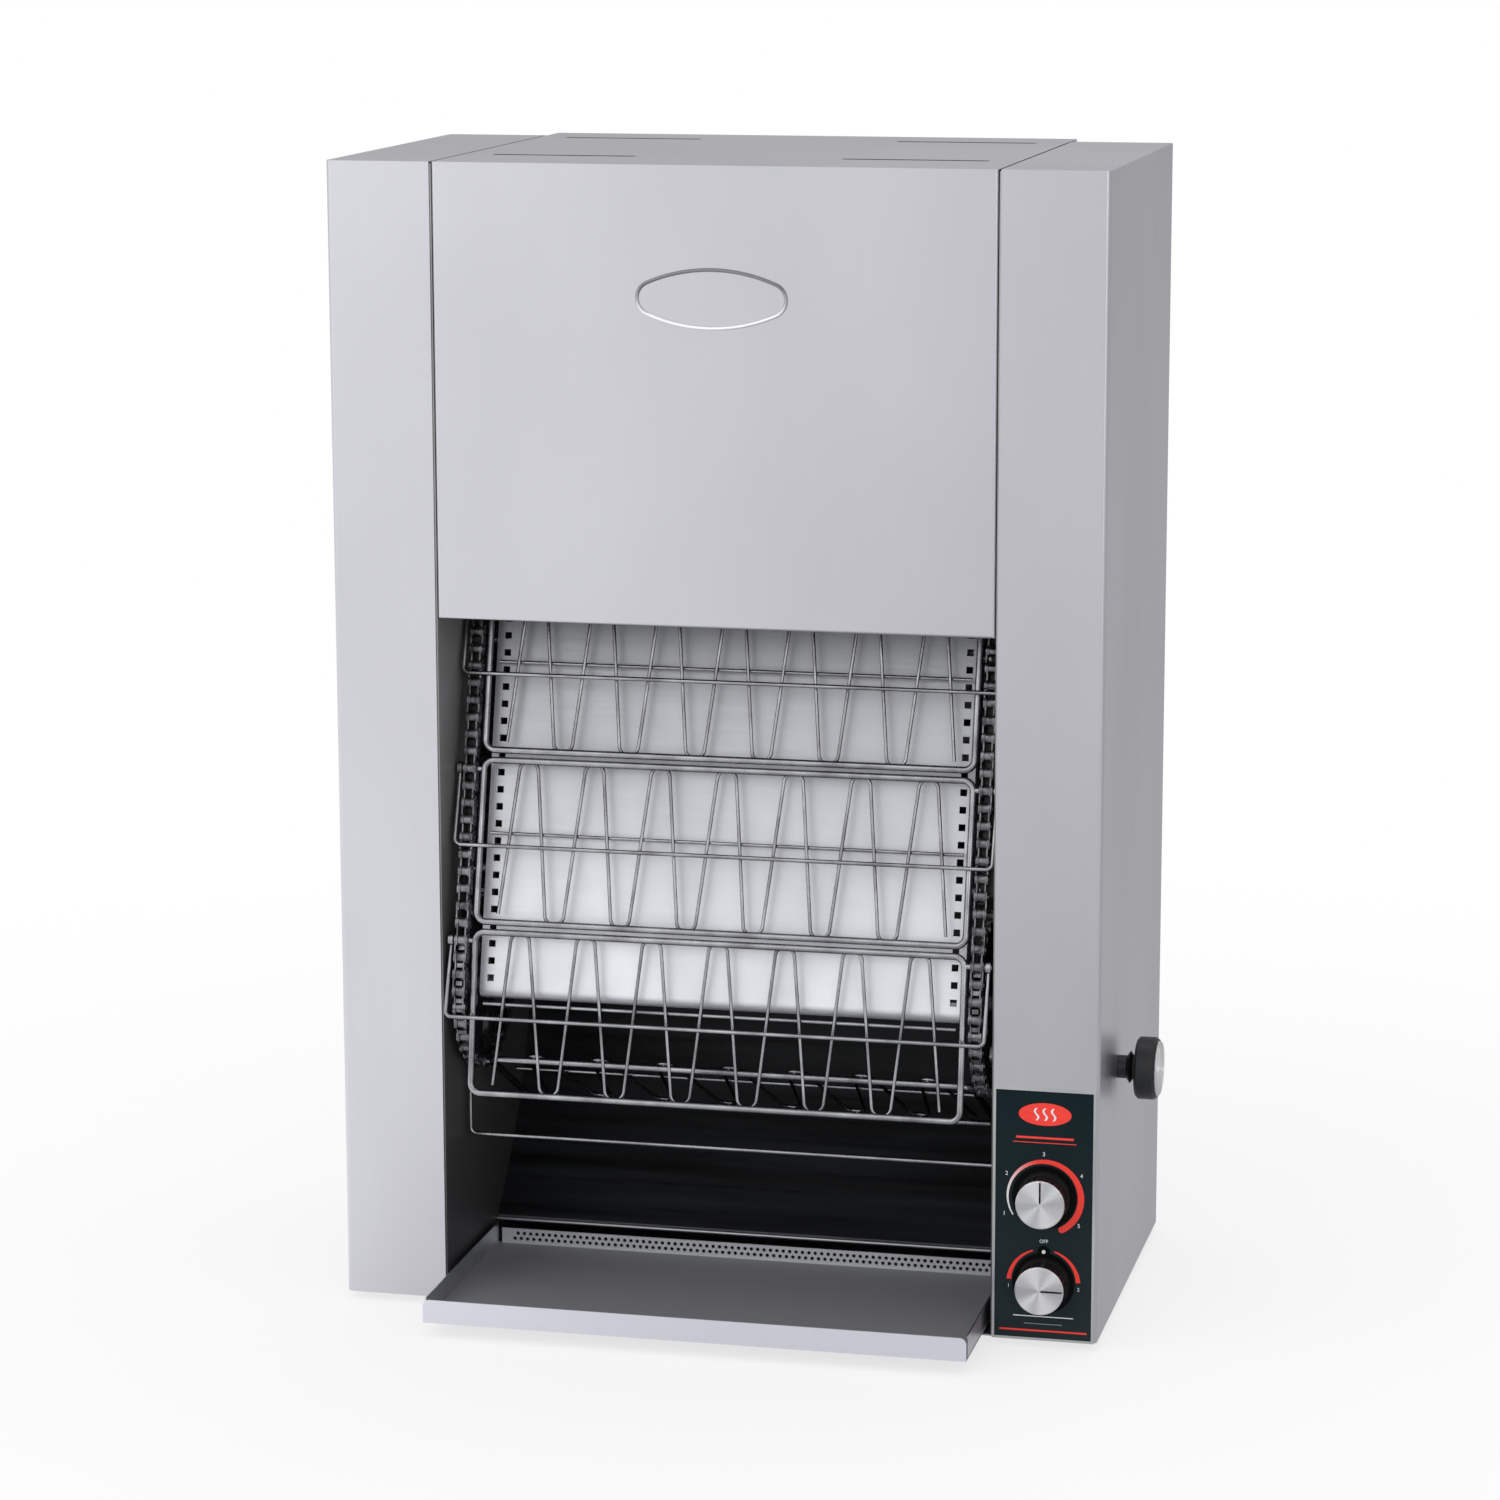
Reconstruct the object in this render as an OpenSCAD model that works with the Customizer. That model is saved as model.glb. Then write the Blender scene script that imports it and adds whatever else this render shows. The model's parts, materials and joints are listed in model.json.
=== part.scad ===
/* [Housing] */
// Width over both side columns
body_w = 568; // [548:1:600]
// Depth of the side columns
body_d = 310; // [304:1:340]
// Height of the housing above its feet
body_h = 845; // [836:1:900]
// Width of each side column
column_w = 77; // [75:0.5:86]
// Thickness of the housing sheet
sheet = 1.2; // [0.8:0.1:1.6]
// Outer bend radius of the column corners
bend_r = 3.5; // [2.5:0.5:6]
// Outer bend radius of the front cover's edges
cover_r = 2.2; // [1.8:0.1:3]
// Seam between neighbouring panels
seam = 0.5; // [0.3:0.1:0.8]
// Depth of the flanges folded behind the panels
flange = 14; // [10:1:20]
// Height of the lower edge of the front cover
opening_top = 515; // [500:1:530]
// How far the back cover stands out behind the columns
back_reach = 33; // [24:1:45]
// Width of the blank oval pad on the front cover
pad_w = 111; // [90:1:140]
// Height of the oval pad
pad_h = 44; // [38:1:60]
// Radius at the ends of the oval pad
pad_end_r = 12; // [9:0.5:14]
// Width of the bead pressed round the pad
pad_rim = 2.6; // [2:0.2:4]
// Height of the rubber feet
foot_h = 6; // [4:0.5:8]
// Diameter of the rubber feet
foot_d = 30; // [20:1:36]
// Distance of each foot's centre from the two nearest edges
foot_inset = 42; // [36:1:60]

/* [Vents] */
// Length of a vent slot
slot_l = 108; // [80:1:120]
// Width of a vent slot
slot_w = 9; // [6:0.5:10]
// Distance of a slot's centre from the middle of the cover
slot_x = 130; // [120:1:135]
// Place of the front pair of slots behind the front face
slot_front = 85; // [60:1:110]
// Distance of the rear pair of slots ahead of the rear face of the columns
slot_rear = 23; // [15:1:40]
// Number of slots in each column of the back cover
louvre_count = 9; // [4:1:12]
// Spacing of the slots in the back cover
louvre_pitch = 22; // [18:1:26]
// Width of a slot in the back cover
louvre_w = 3.8; // [3:0.2:4]

/* [Toast tray] */
// How far the tray stands out in front of the columns
tray_reach = 75; // [60:1:90]
// Length of the tray
tray_l = 200; // [180:1:215]
// Gap between the tray and the inner wall on each side
tray_gap = 3.8; // [2:0.2:8]
// Height of the tray's underside above the housing's underside
tray_z = 5; // [4:0.5:8]
// Thickness of the tray's sheet
tray_sheet = 1; // [0.8:0.1:1.5]
// Height of the tray's front lip
tray_lip = 17.4; // [14:0.2:24]
// Height of the tray's sides at the rear
tray_side = 18; // [16:0.5:22]
// Height of the tray's rear wall
tray_rear = 12.6; // [11:0.2:15]
// Corner radius of the front lip
tray_corner = 5; // [3:0.5:8]
// Diameter of the holes in the tray's rear wall
tray_hole = 2.8; // [2:0.2:3]
// Spacing of those holes along the wall
tray_hole_pitch = 5; // [4.5:0.5:7]
// Height between the two rows of holes
tray_hole_rise = 4.2; // [4:0.1:5]

/* [Conveyor] */
// Pitch of the roller chain
chain_pitch = 12.7; // [12.2:0.1:13.2]
// Teeth of each chain sprocket
sprocket_teeth = 32; // [30:2:34]
// Chain links in each straight run
run_links = 34; // [32:2:34]
// Lean of the conveyor from the vertical
incline = 13.5; // [12:0.5:14.5]
// Depth of the lower shaft behind the front face
drive_y = 66.8; // [64:0.2:70]
// Height of the lower shaft
drive_z = 233.6; // [230:0.2:240]
// Diameter of both conveyor shafts
shaft_d = 16; // [14:1:18]
// Half the gap between a link's inner plates
chain_in = 2.6; // [2.4:0.1:2.8]
// Thickness of a link plate
plate_t = 1; // [0.8:0.1:1]
// End radius of a link plate
plate_r = 5.2; // [4.6:0.1:5.4]
// Diameter of a chain roller
roller_d = 7.8; // [7.4:0.1:7.9]
// Diameter of a chain pin
chain_pin_d = 3.6; // [3:0.1:4]
// Gap between the retainers and the inner wall
gate_gap = 2.9; // [2:0.1:3.5]

/* [Baskets] */
// Diameter of the basket's rim wire
rim_wire = 5; // [4.8:0.1:5.4]
// Length of the basket's rim along the chain
rim_l = 124.5; // [110:0.5:125]
// Corner radius of the rim at its wire's middle
rim_corner = 7.5; // [7:0.5:12]
// Diameter of the zigzag wire
grid_wire = 2.5; // [2:0.1:3]
// Hairpins of the zigzag wire along the top of the rim
grid_pairs = 7; // [5:1:7]
// Spacing of the hairpins
grid_step = 50; // [48:0.5:51]
// Bend radius of a hairpin at its wire's middle
grid_bend = 7.2; // [6:0.2:9]
// Diameter of the pins that join a basket to its chains
carry_d = 4.4; // [4:0.1:4.6]
// Diameter of the retainer wire
gate_wire = 3; // [2.5:0.1:3.4]
// Distance from the retainer's pivot to its bar
gate_l = 57; // [45:1:70]
// Corner radius of the retainer at its wire's middle
gate_corner = 4.5; // [3:0.5:9]
// Length of the retainer's pivot eye
eye_l = 3.4; // [3:0.1:3.6]

/* [Drive] */
// Module of the drive gears
gear_module = 1.5; // [1.4:0.05:1.55]
// Teeth of the gear on the lower shaft
gear_teeth = 60; // [56:1:60]
// Teeth of the motor's pinion
pinion_teeth = 15; // [14:1:16]
// Direction of the pinion's shaft from the lower shaft
pinion_angle = -63; // [-66:1:-60]
// Face width of the gears
gear_w = 10; // [8:0.5:11]
// Diameter of the motor's output shaft
output_d = 12; // [10:1:14]
// Diameter of the advance knob
advance_d = 46; // [36:1:56]
// Thickness of the advance knob's head
advance_t = 15.5; // [10:0.5:20]
// Length of the advance knob's stem
advance_stem = 13.5; // [12:0.5:18]

/* [Controls] */
// Height of the control panel
panel_h = 189; // [180:1:195]
// Width of the bright frame round the control panel
panel_rim = 1.9; // [1.5:0.1:3]
// Thickness of the control panel
panel_t = 1.2; // [1:0.1:2]
// Height of the speed knob's axis
speed_z = 108; // [104:1:115]
// Height of the selector knob's axis
mode_z = 43.5; // [36:0.5:50]
// Diameter of the control knobs
knob_d = 36; // [30:1:40]
// Height of the control knobs
knob_h = 19; // [14:1:24]
// Diameter of the knob spindles
spindle_d = 6; // [5:0.5:6.5]

/* [Heaters] */
// Diameter of the heater tubes
heater_d = 8; // [6:0.5:10]
// Tubes in each heater bank
heater_count = 5; // [3:1:5]
// Spacing of the tubes
heater_step = 42; // [38:1:44]

/* [Hidden] */
$fn = 48;

// Running fit of a turning pin, half a drilled clearance, and the gap between neighbours
run_fit = 0.05;
hole_fit = 0.1;
clear = 0.3;
over = 1;

// Planes of the housing
side_x = body_w / 2;
wall_x = side_x - column_w;
wall_in = wall_x - sheet;
cover_x = wall_in - seam;
groove = sheet + clear;
back_y = body_d + back_reach;
back_low = sheet + seam;
back_high = body_h - flange - seam;

// Conveyor geometry, in a frame that leans with the conveyor: Z along the run, -Y outward
chain_r = chain_pitch / 2 / sin(180 / sprocket_teeth);
run_l = run_links * chain_pitch;
wrap_links = sprocket_teeth / 2;
loop_links = 2 * (run_links + wrap_links);
link_angle = 360 / sprocket_teeth;
first_basket = 2;
basket_links = 10;
plate_gap = 0.15;
chain_out = chain_in + 2 * plate_t + plate_gap;
pin_head = 0.65;
chain_half = chain_out + pin_head;
// The retainers' eyes sit on the carrying pins, between the chain and the inner wall
eye_gap = 0.9;
eye_x = wall_in - gate_gap - eye_l / 2;
chain_x = eye_x - eye_l / 2 - eye_gap - chain_half;
sleeve_d = carry_d + 2;
bush_d = shaft_d + 8;
shaft_over = 15;
guide_lead = 12;
guide_start = chain_r + guide_lead;

// Baskets, measured inward from the chain
rim_gap = 1.8;
rim_half = chain_x - chain_half - rim_gap;
rim_x = rim_half - rim_wire / 2;
rim_lift = 2.2;
rim_top = (carry_d + rim_wire) / 2 + rim_lift;
rim_bottom = rim_top - rim_l + rim_wire;
// The carrying pin starts in the middle of the rim's corner bend
carry_start = rim_x - rim_corner + sqrt(rim_corner * rim_corner - pow(rim_corner - rim_top, 2));
weld_gap = 0.05;
bend_swell = 0.12;
leg_sink = 0.4;
grid_y = (rim_wire + grid_wire + bend_swell) / 2 + weld_gap;
brace_y = grid_y + grid_wire + weld_gap;
grid_top = rim_top - grid_bend;
grid_bottom = rim_bottom + grid_bend;
grid_drop = grid_top - grid_bottom;
grid_span = norm([grid_step / 2, grid_drop]);
grid_lean = atan2(grid_step / 2, grid_drop) - asin(2 * grid_bend / grid_span);
grid_leg = sqrt(grid_span * grid_span - 4 * grid_bend * grid_bend);
gate_shut = asin((plate_r + gate_wire / 2 + clear) / gate_l);
eye_d = carry_d + 2 * gate_wire * 0.8;

// Drive train
gear_x = wall_x + 15;
gear_distance = gear_module * (gear_teeth + pinion_teeth) / 2;
pressure_angle = 20;
backlash = 0.25;
addendum = 0.9 * gear_module;
dedendum = 1.3 * gear_module;
advance_y = drive_y + gear_distance * cos(pinion_angle);
advance_z = drive_z + gear_distance * sin(pinion_angle);
gearbox_x = gear_x + gear_w + 5;
gearbox_w = 32;
gearbox_l = 74;
gearbox_h = 62;
gearbox_y = advance_y - 22;
gearbox_posts = [for (y = [8, gearbox_l - 8]) [gearbox_y + y, advance_z - gearbox_h / 2 + 8]];
motor_d = 52;
motor_l = 84;
motor_x = side_x - sheet - clear - motor_d / 2 - 1;

// Advance knob, outside the right column
knob_x = side_x + clear;
cap_t = 2;
advance_end = knob_x + advance_stem + advance_t + cap_t;

// Controls on the right column
control_x = wall_x + column_w / 2 - 0.5;
frame_t = 1.6;
skirt = 3;
skirt_h = 4;
flutes = 24;
pointer_w = 1.4;
spindle_back = 14;

// Sheet behind the front run, chute and braces
chute_low = -51;
chute_top = -3;
plate_back = 14;
plate_half = rim_half - 4;
plate_low = -16;
plate_high = 300;
tie_d = 8;
tie_places = [80, 250];
chute_r = 312;
chute_y = tray_l - tray_reach + 8 - chute_r * cos(chute_low);
chute_z = tray_z + tray_rear + 5 - chute_r * sin(chute_low);
chute_rise = 60;
hem_d = 3.2;
tray_holes = floor(2 * (wall_in - tray_gap - 10) / tray_hole_pitch);

// Heater banks
heater_front_y = 20;
heater_front_z = opening_top + 16;
heater_low = 120;
heater_behind = chain_r + 44;
terminal_l = 14;
insulator_d = heater_d + 8;

// Inlet for the supply cord in the right column's back
gland_d = 20;
gland_x = wall_x + column_w / 2;
gland_z = 60;

// Screw heads on the back
screw_d = 8;
screw_h = 2.4;

// Origin: the middle of the whole outline, on the surface that the feet stand on
middle_x = (advance_end - side_x) / 2;
middle_y = (back_y + screw_h - tray_reach) / 2;

module place() translate([-middle_x, -middle_y, foot_h]) children();

// The leaning frame whose origin is the lower shaft
module leaning() place() translate([0, drive_y, drive_z]) rotate([-incline, 0, 0]) children();

// A flat outline in Y and Z, drawn out along X
module along_x(x, length) translate([x, 0, 0]) rotate([90, 0, 90]) linear_extrude(length) children();

// A flat outline in X and Z, drawn out along Y
module along_y(y, length) translate([0, y + length, 0]) rotate([90, 0, 0]) linear_extrude(length) children();

// A round bar along X between two places
module bar_x(x0, x1, d) translate([x0, 0, 0]) rotate([0, 90, 0]) cylinder(d = d, h = x1 - x0);

module both_sides() {
    children();
    mirror([1, 0, 0]) children();
}

module rounded(w, h, r) {
    translate([-w / 2 + r, -h / 2]) square([w - 2 * r, h]);
    translate([-w / 2, -h / 2 + r]) square([w, h - 2 * r]);
    for (x = [-1, 1], y = [-1, 1]) translate([x * (w / 2 - r), y * (h / 2 - r)]) circle(r);
}

// Housing
module column_outline(w, d, r) {
    square([w - r, d]);
    translate([0, r]) square([w, d - 2 * r]);
    for (y = [r, d - r]) translate([w - r, y]) circle(r);
}

module column_shell() difference() {
    translate([wall_x, 0, 0]) linear_extrude(body_h) column_outline(column_w, body_d, bend_r);
    translate([wall_x, sheet, -over]) linear_extrude(body_h - sheet + over) {
        column_outline(column_w - sheet, body_d - 2 * sheet, bend_r - sheet);
        translate([-over, 0]) square([2 * over, body_d - 2 * sheet]);
    }
}

module left_column() color("gainsboro") place() mirror([1, 0, 0]) column_shell();

module right_column() color("gainsboro") place() difference() {
    column_shell();
    for (z = [speed_z, mode_z]) translate([control_x, -over, z])
        rotate([-90, 0, 0]) cylinder(d = spindle_d + 4 + 2 * hole_fit, h = 4 * over);
    translate([side_x - 4 * over, advance_y, advance_z]) rotate([0, 90, 0])
        cylinder(d = output_d + 4, h = 8 * over);
    translate([gland_x, body_d - 4 * over, gland_z]) rotate([-90, 0, 0])
        cylinder(d = gland_d + 2 * hole_fit, h = 8 * over);
}

module inner_wall() difference() {
    along_x(wall_in, sheet) translate([groove, sheet]) square([body_d - sheet - groove, body_h - sheet - groove]);
    for (z = [0, run_l]) translate([0, drive_y, drive_z]) rotate([-incline, 0, 0])
        translate([wall_in - over, 0, z]) rotate([0, 90, 0]) cylinder(d = bush_d + 2 * hole_fit, h = 4 * over);
    wall_crossings() bar_x(wall_in - over, wall_x + over, heater_d + 2 * hole_fit);
    tie_crossings() bar_x(wall_in - over, wall_x + over, tie_d + 2 * hole_fit);
}

module left_inner_wall() color("dimgray") place() mirror([1, 0, 0]) inner_wall();

module right_inner_wall() color("dimgray") place() inner_wall();

// A deep block with the front cover's bent edges, set in all round
module cover_block(inset) intersection() {
    translate([0, body_d / 2 + inset, 0]) linear_extrude(body_h + inset)
        rounded(2 * (cover_x - inset), body_d, cover_r - inset);
    along_x(-cover_x, 2 * cover_x) translate([body_d / 2 + inset, opening_top + inset + body_h / 2])
        rounded(body_d, body_h, cover_r - inset);
}

module front_cover() color("gainsboro") place() {
    difference() {
        intersection() {
            cover_block(0);
            translate([-cover_x, 0, opening_top]) cube([2 * cover_x, flange, body_h - opening_top]);
        }
        cover_block(sheet);
        translate([-cover_x - over, sheet + seam, body_h - flange - 2])
            cube([2 * (cover_x + over), flange, flange + 2 + over]);
    }
    translate([0, sheet - 0.1 - pad_rim / 2, body_h - 94]) pad_bead();
}

// A bead pressed round the blank pad: an oval of four arcs
module pad_bead() {
    half_w = (pad_w - pad_rim) / 2;
    half_h = (pad_h - pad_rim) / 2;
    side_r = (pow(half_w, 2) - 2 * half_w * pad_end_r + pow(half_h, 2)) / 2 / (half_h - pad_end_r);
    turn = atan2(side_r - half_h, half_w - pad_end_r);
    for (a = [0, 180]) {
        wire_arc(cos(a) * (half_w - pad_end_r), 0, pad_end_r, a - turn, a + turn, pad_rim);
        wire_arc(0, cos(a) * (half_h - side_r), side_r, a + turn, a + 180 - turn, pad_rim);
    }
}

module top_cover() color("gainsboro") place() difference() {
    translate([-cover_x, sheet + seam, body_h - flange]) cube([2 * cover_x, back_y - sheet - seam, flange]);
    translate([-cover_x + sheet, 0, body_h - flange - over])
        cube([2 * (cover_x - sheet), back_y - sheet, flange + over - sheet]);
    for (x = [-slot_x, slot_x], y = [slot_front, body_d - slot_rear])
        translate([x, y, body_h - 2 * over]) linear_extrude(4 * over) rounded(slot_l, slot_w, slot_w / 2 - 0.1);
}

module back_cover() color("gainsboro") place() difference() {
    translate([-cover_x, body_d - flange, back_low]) cube([2 * cover_x, back_reach + flange, back_high - back_low]);
    translate([-cover_x + sheet, body_d - flange - over, back_low + sheet])
        cube([2 * (cover_x - sheet), back_reach + flange + over - sheet, back_high]);
    for (x = [-slot_x, slot_x], i = [0 : louvre_count - 1])
        along_y(back_y - 2 * over, 4 * over) translate([x, back_high - 90 - i * louvre_pitch])
            rounded(slot_l, louvre_w, louvre_w / 2 - 0.1);
}

module base_pan() color("darkgray") place() {
    inner = side_x - sheet - hole_fit;
    difference() {
        translate([-inner, sheet + hole_fit, 0]) cube([2 * inner, body_d - 2 * (sheet + hole_fit), flange]);
        translate([-inner + sheet, 0, sheet]) cube([2 * (inner - sheet), body_d, flange]);
        for (x = [-1, 1], y = [0, body_d]) translate([x * side_x, y, -over])
            cylinder(r = bend_r + hole_fit, h = flange + 2 * over);
    }
    both_sides() translate([wall_in - 40, flange, sheet - 0.2])
        cube([8, tray_l - tray_reach, tray_z - sheet + 0.2 - hole_fit]);
}

module feet() color("black") place() for (x = [-1, 1], y = [foot_inset, body_d - foot_inset])
    translate([x * (side_x - foot_inset), y, -foot_h]) {
        cylinder(d1 = foot_d - 4, d2 = foot_d, h = 2);
        translate([0, 0, 2]) cylinder(d = foot_d, h = foot_h - 2);
    }

module cover_screws() color("silver") place() {
    for (x = [-1, 1], z = [back_low + 60, (back_low + back_high) / 2, back_high - 40])
        translate([x * (cover_x - 12), back_y, z]) rotate([-90, 0, 0]) screw_head();
    for (x = [-1, 1], z = [120, body_h / 2, body_h - 60])
        translate([x * (side_x - column_w / 2), body_d, z]) rotate([-90, 0, 0]) screw_head();
}

module screw_head() difference() {
    union() {
        cylinder(d = screw_d, h = screw_h / 3);
        translate([0, 0, screw_h / 3]) cylinder(d1 = screw_d, d2 = screw_d - 3, h = screw_h * 2 / 3);
    }
    for (a = [0, 90]) rotate(a) translate([-2.2, -0.5, screw_h / 2]) cube([4.4, 1, screw_h]);
}

// Braces, reflector, chute and guides between the inner walls
module tie_crossings() translate([0, drive_y, drive_z]) rotate([-incline, 0, 0])
    for (z = tie_places) translate([0, -chain_r + plate_back + sheet + 12, z]) children();

module tie_rods() color("silver") place() tie_crossings() bar_x(-wall_x - 6, wall_x + 6, tie_d);

module reflector_plate() color("whitesmoke") leaning() difference() {
    along_reflector(plate_half, 0);
    along_reflector(plate_half - sheet, sheet);
    for (x = [-1, 1], z = [plate_low + 12 : chain_pitch : plate_high - 12])
        translate([x * (plate_half - 8) - 2.5, -chain_r + plate_back - over, z]) cube([5, 4 * over, 5]);
    for (z = tie_places) translate([0, -chain_r + plate_back + sheet + 12, z])
        bar_x(-plate_half - over, plate_half + over, tie_d + 2 * hole_fit);
}

// The reflector's folded outline, drawn out across the bay
module along_reflector(half, inset) along_x(-half, 2 * half) translate([-chain_r + plate_back + inset, 0]) {
    bend = 7 - inset;
    translate([0, plate_low + 7]) square([22 - inset + (inset > 0 ? over : 0), plate_high - plate_low - 7]);
    translate([7 - inset, plate_low + inset]) square([15 + (inset > 0 ? over : 0), 7 - inset + 0.01]);
    translate([bend, plate_low + 7]) circle(bend);
}

module toast_chute() color("dimgray") place() {
    half = wall_in - clear;
    translate([-half, chute_y, chute_z]) rotate([90, 0, 90]) {
        rotate(chute_low) rotate_extrude(angle = chute_top - chute_low)
            translate([chute_r, 0]) square([sheet, 2 * half]);
        rotate(chute_top) translate([chute_r, 0, 0]) cube([sheet, chute_rise, 2 * half]);
        rotate(chute_low) translate([chute_r + sheet / 2, 0, 0]) cylinder(d = hem_d, h = 2 * half);
    }
}

module chain_guides() color("silver") leaning() both_sides() for (side = [-1, 1])
    translate([chain_x - chain_in + 0.4, side * (chain_r - plate_r - clear - 3) - 3, guide_start])
        cube([wall_in - chain_x + chain_in - 0.4, 6, run_l - 2 * guide_start]);

// Tray
module toast_tray() color("silver") place() {
    half = wall_in - tray_gap;
    front = -tray_reach;
    rear = front + tray_l;
    translate([-half, front, tray_z]) cube([2 * half, tray_l, tray_sheet]);
    along_y(front, tray_sheet) intersection() {
        translate([0, tray_z + tray_lip - 30]) rounded(2 * half, 60, tray_corner);
        translate([-half, tray_z]) square([2 * half, tray_lip]);
    }
    both_sides() along_x(half - tray_sheet, tray_sheet) polygon([
        [front + tray_sheet + tray_corner, tray_z], [rear - 3, tray_z],
        [rear - 3, tray_z + tray_side], [front + tray_corner + tray_sheet, tray_z + tray_lip]
    ]);
    along_y(rear - tray_sheet, tray_sheet) difference() {
        translate([-half + 3, tray_z]) square([2 * half - 6, tray_rear]);
        for (row = [-1, 1], i = [0 : tray_holes - 1]) translate([
            (i - (tray_holes - 1) / 2 + row / 4) * tray_hole_pitch,
            tray_z + (tray_rear + tray_sheet + row * tray_hole_rise) / 2
        ]) circle(d = tray_hole);
    }
}

// Controls
module panel_outline(margin) translate([wall_x + 0.3 + margin, margin])
    square([column_w - bend_r + 1.3 - 2 * margin, panel_h - 2 * margin]);

module panel_frame() color("silver") place() along_y(-frame_t, frame_t) difference() {
    panel_outline(0);
    panel_outline(panel_rim);
}

module control_panel() color("black") place() difference() {
    along_y(-panel_t, panel_t) panel_outline(panel_rim + hole_fit);
    for (z = [speed_z, mode_z]) translate([control_x, -panel_t - over, z])
        rotate([-90, 0, 0]) cylinder(d = spindle_d + 4 + 2 * hole_fit, h = panel_t + 2 * over);
}

// A control knob stands on the panel, with its spindle, and points along its own +Y
module at_control(z) place() translate([control_x, -panel_t, z]) rotate([90, 0, 0]) children();

module knob_body() {
    difference() {
        union() {
            translate([0, 0, clear]) cylinder(d1 = knob_d + skirt, d2 = knob_d + skirt - 2, h = skirt_h - clear);
            translate([0, 0, skirt_h - 0.5]) linear_extrude(knob_h - skirt_h + 0.5) difference() {
                circle(d = knob_d);
                for (i = [0 : flutes - 1]) rotate(i * 360 / flutes) translate([knob_d / 2 + 0.6, 0]) circle(1.4);
            }
        }
        translate([0, 0, -over]) cylinder(d = spindle_d + 2 * run_fit, h = knob_h + 2 * over);
    }
    translate([0, 0, -panel_t - sheet - spindle_back])
        cylinder(d = spindle_d, h = knob_h - 1 + panel_t + sheet + spindle_back);
}

module knob_cap() translate([0, 0, knob_h]) difference() {
    union() {
        cylinder(d = knob_d - 0.4, h = 0.8);
        translate([0, 0, 0.8]) cylinder(d1 = knob_d - 0.4, d2 = knob_d - 2, h = 0.7);
    }
    translate([-pointer_w / 2, 1, 0.8]) cube([pointer_w, knob_d, 2]);
}

module speed_knob() color("black") at_control(speed_z) knob_body();

module speed_knob_cap() color("silver") at_control(speed_z) knob_cap();

module mode_knob() color("black") at_control(mode_z) rotate(-90) knob_body();

module mode_knob_cap() color("silver") at_control(mode_z) rotate(-90) knob_cap();

// The threaded bush and the nut that hold a control behind the column's front
module control_bush(nose) difference() {
    union() {
        translate([0, 0, -sheet]) cylinder(d = spindle_d + 4, h = sheet + nose);
        children();
    }
    translate([0, 0, -20]) cylinder(d = spindle_d + 2 * run_fit, h = 40);
}

module speed_control() color("slategray") at_control(speed_z) translate([0, 0, -panel_t])
    control_bush(panel_t - 0.2) {
        translate([0, 0, -sheet - 16]) cylinder(d = 24, h = 16);
        translate([-7, -18, -sheet - 12]) cube([14, 10, 2]);
    }

module mode_switch() color("ivory") at_control(mode_z) translate([0, 0, -panel_t])
    control_bush(panel_t - 0.2) {
        translate([-17, -14, -sheet - 24]) cube([34, 28, 24]);
        for (x = [-10, 0, 10]) translate([x - 3, -2, -sheet - 32]) cube([6, 1, 8.5]);
    }

// Drive
module on_output() place() translate([0, advance_y, advance_z]) children();

module advance_knob() color("black") on_output() translate([knob_x, 0, 0]) rotate([0, 90, 0]) rotate_extrude()
    polygon([
        [output_d / 2 + run_fit, 0], [8.5, 0], [8.5, advance_stem - 7.5], [12, advance_stem - 5],
        [8.5, advance_stem - 2.5], [8.5, advance_stem], [advance_d / 2 - 2, advance_stem],
        [advance_d / 2, advance_stem + 2], [advance_d / 2, advance_stem + advance_t - 2],
        [advance_d / 2 - 1.5, advance_stem + advance_t], [output_d / 2 + run_fit, advance_stem + advance_t]
    ]);

module advance_knob_cap() color("silver") on_output()
    translate([knob_x + advance_stem + advance_t, 0, 0]) rotate([0, 90, 0]) {
        cylinder(d = advance_d - 6, h = cap_t - 0.8);
        translate([0, 0, cap_t - 0.8]) cylinder(d1 = advance_d - 6, d2 = advance_d - 8, h = 0.8);
    }

module output_shaft() color("silver") on_output() bar_x(gear_x - 4, knob_x + advance_stem + advance_t, output_d);

// Half the angle of a tooth at radius r, for an involute of base radius base
function inv(angle) = tan(angle) * 180 / PI - angle;
function tooth_half(r, base, teeth) = 90 / teeth - backlash / 4 / (gear_module * teeth / 2) * 180 / PI
    + inv(pressure_angle) - inv(r > base ? acos(base / r) : 0);
function polar(r, a) = r * [cos(a), sin(a)];

module gear_outline(teeth) {
    pitch = gear_module * teeth / 2;
    base = pitch * cos(pressure_angle);
    root = pitch - dedendum;
    radii = [for (i = [0 : 4]) max(root, base) + (pitch + addendum - max(root, base)) * i / 4];
    flank = concat([root - 0.01], radii);
    polygon([for (t = [0 : teeth - 1], side = [-1, 1], i = [0 : 5])
        let (r = flank[side < 0 ? i : 5 - i]) polar(r, t * 360 / teeth + side * tooth_half(r, base, teeth))]);
}

module drive_pinion() color("goldenrod") on_output() difference() {
    union() {
        along_x(gear_x, gear_w) rotate(pinion_angle + 180 + 180 / pinion_teeth) gear_outline(pinion_teeth);
        bar_x(gear_x - 3, gear_x, output_d + 5);
    }
    bar_x(gear_x - 5, gear_x + gear_w + over, output_d + 2 * run_fit);
}

module drive_gear() color("goldenrod") place() translate([0, drive_y, drive_z]) difference() {
    union() {
        along_x(gear_x, gear_w) difference() {
            rotate(pinion_angle) gear_outline(gear_teeth);
            for (a = [0 : 60 : 300]) rotate(a + pinion_angle) translate([26, 0]) circle(9);
        }
        bar_x(gear_x - 3, gear_x + gear_w + 4, shaft_d + 14);
    }
    bar_x(gear_x - 4, gear_x + gear_w + 5, shaft_d + 2 * run_fit);
}

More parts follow.
